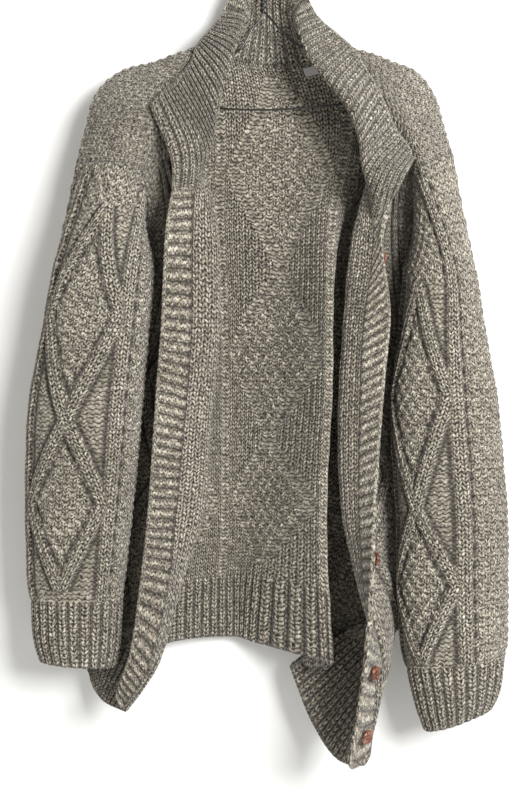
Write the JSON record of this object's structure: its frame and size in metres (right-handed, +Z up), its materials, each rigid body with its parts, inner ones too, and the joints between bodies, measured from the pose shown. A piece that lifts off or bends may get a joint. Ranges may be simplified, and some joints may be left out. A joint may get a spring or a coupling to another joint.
{
  "type": "cable knit cardigan on a wire hanger",
  "caption": "Chunky cable knit cardigan with a ribbed collar, hanging open from a thin wire hanger with both front edges turned outward.",
  "frame": {"origin": "inner top of the hanger's hook, where a rail or nail carries it", "axes": "+Z up, +X to the right of someone who faces the cardigan's open front, -Y toward that person"},
  "size_m": [0.5525, 0.1484, 0.9825],
  "materials": {
    "wool": "woolly marled knit, matt",
    "button": "glossy mottled brown",
    "steel": "drawn wire, slightly shiny",
    "label": "plain woven tape, bare"
  },
  "bodies": {
    "root": {"back": "wool", "front_right": "wool", "front_left": "wool", "band_right": "wool", "band_left": "wool", "sleeve_right": "wool", "sleeve_left": "wool", "collar": "wool", "button_1": "button", "button_2": "button", "button_3": "button", "button_4": "button", "button_5": "button", "button_6": "button", "neck_label": "label", "hanger": "steel"}
  },
  "joints": []
}
